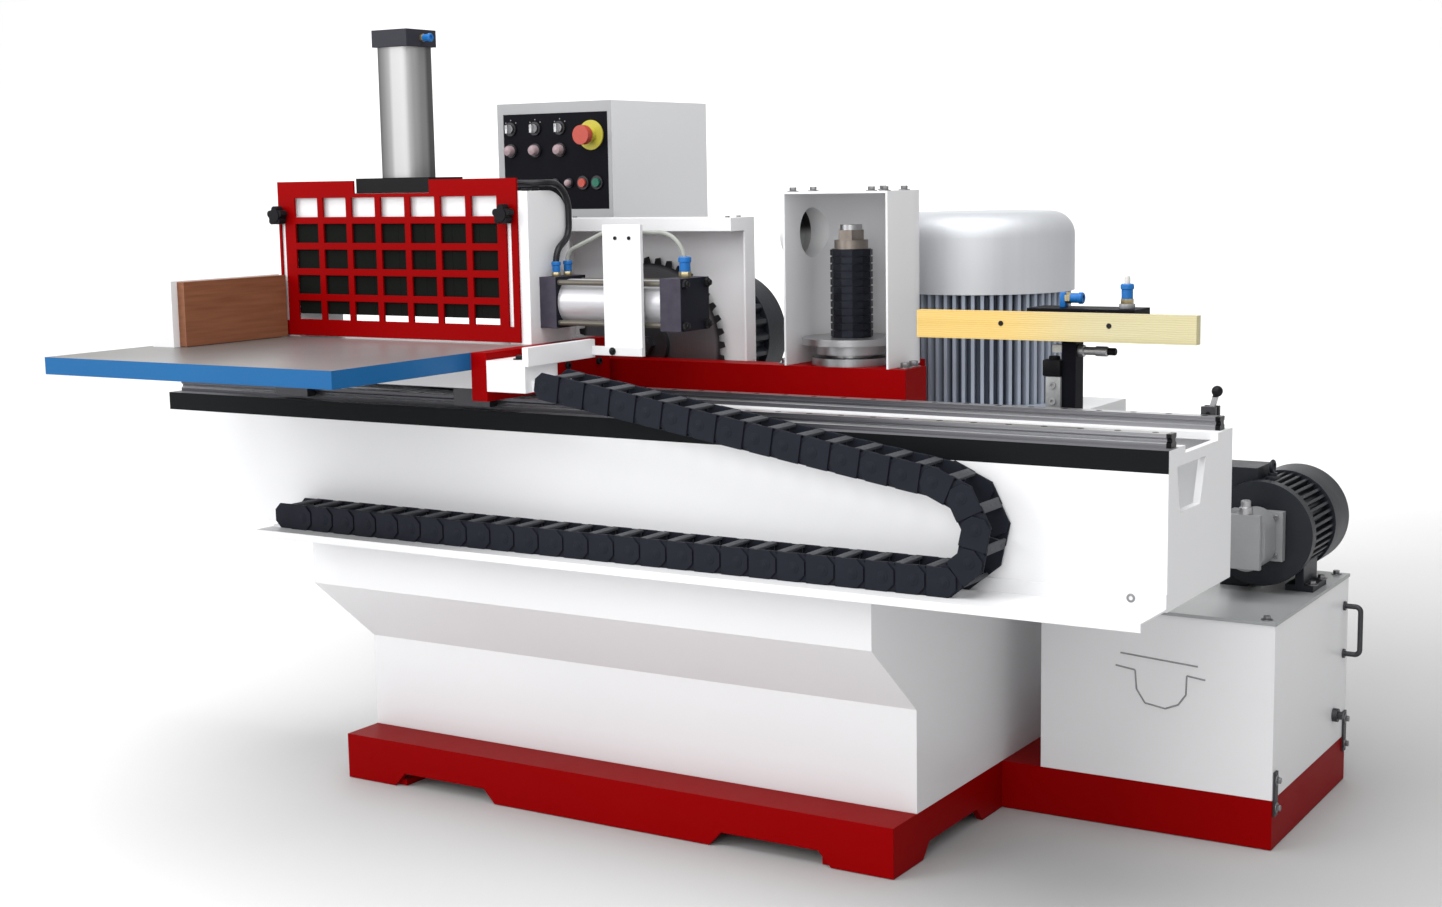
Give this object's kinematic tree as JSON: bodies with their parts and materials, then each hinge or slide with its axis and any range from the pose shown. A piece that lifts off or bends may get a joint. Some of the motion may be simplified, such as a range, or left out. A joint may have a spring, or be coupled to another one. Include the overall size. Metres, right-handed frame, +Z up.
{
  "type": "finger joint machine",
  "caption": "Semi-automatic finger joint machine with a sliding clamp table, trim saw, upright finger cutter spindle, cable chain and oil unit.",
  "frame": {"origin": "on the floor, midway between the four anchor holes of the plinth", "axes": "+X along the bed in the feed direction, -Y towards the operator, +Z up"},
  "size_m": [2.162, 1.469, 1.48],
  "materials": {
    "white_paint": "gloss paint",
    "red_paint": "gloss paint",
    "black_paint": "satin paint",
    "blue_table": "painted edges, ground top",
    "ground_steel": "ground",
    "dark_steel": "oiled",
    "aluminium": "anodised",
    "black_plastic": "matt",
    "brown_board": "oiled",
    "pine": "planed",
    "motor_grey": "satin paint",
    "motor_dark": "satin paint",
    "yellow_plastic": "gloss",
    "red_plastic": "gloss",
    "green_plastic": "gloss",
    "chrome": "chromed",
    "rubber": "matt"
  },
  "bodies": {
    "machine": {"plinth": "red_paint", "pedestal": "white_paint", "bed": "white_paint", "guide_rails": "ground_steel", "chain_tray": "white_paint", "chain_lower": "black_plastic", "rear_stand": "white_paint", "platform": "red_paint", "saw_hood": "white_paint", "saw_motor": "motor_dark", "spindle_hood": "white_paint", "spindle_housing": "ground_steel", "main_motor": "motor_grey", "motor_cowl": "motor_grey", "drive_belt": "rubber", "cabinet": "white_paint", "control_panel": "black_paint", "panel_fittings": "chrome", "stop_ring": "yellow_plastic", "tank": "white_paint", "tank_lid": "white_paint", "tank_fittings": "dark_steel", "pump_motor": "motor_dark", "gear_pump": "aluminium", "board_unit": "black_paint", "lever_base": "dark_steel"},
    "carriage": {"runner_blocks": "dark_steel", "saddle": "white_paint", "table": "blue_table", "side_bar": "red_paint", "valve_post": "white_paint", "fence_bracket": "white_paint", "fence_board": "brown_board", "gate_left_plate": "white_paint", "gate_right_plate": "white_paint", "gate_beam": "white_paint", "press_cylinder": "aluminium", "side_cylinder": "aluminium", "air_hoses": "rubber", "chain_upper": "black_plastic"},
    "press": {"press_ram": "ground_steel"},
    "side_clamp": {"side_ram": "ground_steel"},
    "guard": {"guard": "red_paint"},
    "knob_left": {"knob_left": "black_plastic"},
    "knob_right": {"knob_right": "black_plastic"},
    "spindle": {"spindle_shaft": "ground_steel", "cutter_stack": "dark_steel"},
    "rotor": {"motor_rotor": "ground_steel"},
    "saw": {"saw_arbor": "dark_steel", "saw_blade": "ground_steel"},
    "aligner": {"board_guides": "ground_steel", "wood_board": "pine"},
    "lever": {"lever": "black_plastic"},
    "selector_1": {"selector_1": "black_plastic"},
    "selector_2": {"selector_2": "black_plastic"},
    "selector_3": {"selector_3": "black_plastic"},
    "button_red": {"button_red": "red_plastic"},
    "button_green": {"button_green": "green_plastic"},
    "stop_button": {"stop_button": "red_plastic"},
    "chain_bend": {"chain_bend": "black_plastic"}
  },
  "joints": [
    {"name": "carriage_slide", "type": "slide", "parent": "machine", "child": "carriage", "axis": [1, 0, 0], "range_m": [0, 1.2], "deforming": ["chain_lower", "chain_upper"]},
    {"name": "chain_bend_slide", "type": "slide", "parent": "machine", "child": "chain_bend", "axis": [1, 0, 0], "range_m": [0, 0.6]},
    {"name": "press_slide", "type": "slide", "parent": "carriage", "child": "press", "axis": [0, 0, -1], "range_m": [0, 0.06]},
    {"name": "side_clamp_slide", "type": "slide", "parent": "carriage", "child": "side_clamp", "axis": [-1, 0, 0], "range_m": [0, 0.08]},
    {"name": "guard_slide", "type": "slide", "parent": "carriage", "child": "guard", "axis": [0, 0, 1], "range_m": [0, 0.15]},
    {"name": "knob_left_turn", "type": "hinge", "parent": "carriage", "child": "knob_left", "pos_m": [-0.729, -0.48, 1.132], "axis": [0, 1, 0], "range_deg": [0, 360]},
    {"name": "knob_right_turn", "type": "hinge", "parent": "carriage", "child": "knob_right", "pos_m": [-0.166, -0.48, 1.132], "axis": [0, 1, 0], "range_deg": [0, 360]},
    {"name": "spindle_spin", "type": "hinge", "parent": "machine", "child": "spindle", "pos_m": [0.372, -0.145, 0.9], "axis": [0, 0, 1], "continuous": true},
    {"name": "rotor_spin", "type": "hinge", "parent": "machine", "child": "rotor", "pos_m": [0.483, 0.19, 0.7], "axis": [0, 0, 1], "continuous": true},
    {"name": "saw_spin", "type": "hinge", "parent": "machine", "child": "saw", "pos_m": [-0.07, -0.154, 0.87], "axis": [0, 1, 0], "continuous": true},
    {"name": "aligner_slide", "type": "slide", "parent": "machine", "child": "aligner", "axis": [0, -1, 0], "range_m": [0, 0.03]},
    {"name": "lever_turn", "type": "hinge", "parent": "machine", "child": "lever", "pos_m": [1.082, -0.243, 0.799], "axis": [0, 1, 0], "range_deg": [-25, 25]},
    {"name": "selector_1_turn", "type": "hinge", "parent": "machine", "child": "selector_1", "pos_m": [-0.563, 0.0605, 1.302], "axis": [0, 1, 0], "range_deg": [-45, 45]},
    {"name": "selector_2_turn", "type": "hinge", "parent": "machine", "child": "selector_2", "pos_m": [-0.498, 0.0605, 1.302], "axis": [0, 1, 0], "range_deg": [-45, 45]},
    {"name": "selector_3_turn", "type": "hinge", "parent": "machine", "child": "selector_3", "pos_m": [-0.433, 0.0605, 1.302], "axis": [0, 1, 0], "range_deg": [-45, 45]},
    {"name": "button_red_push", "type": "slide", "parent": "machine", "child": "button_red", "axis": [0, 1, 0], "range_m": [0, 0.004], "stiffness_N_per_m": 400},
    {"name": "button_green_push", "type": "slide", "parent": "machine", "child": "button_green", "axis": [0, 1, 0], "range_m": [0, 0.004], "stiffness_N_per_m": 400},
    {"name": "stop_push", "type": "slide", "parent": "machine", "child": "stop_button", "axis": [0, 1, 0], "range_m": [0, 0.006]}
  ],
  "couplings": [
    {"joint": "chain_bend_slide", "follows": "carriage_slide", "ratio": 0.5},
    {"joint": "rotor_spin", "follows": "spindle_spin", "ratio": 0.625}
  ]
}
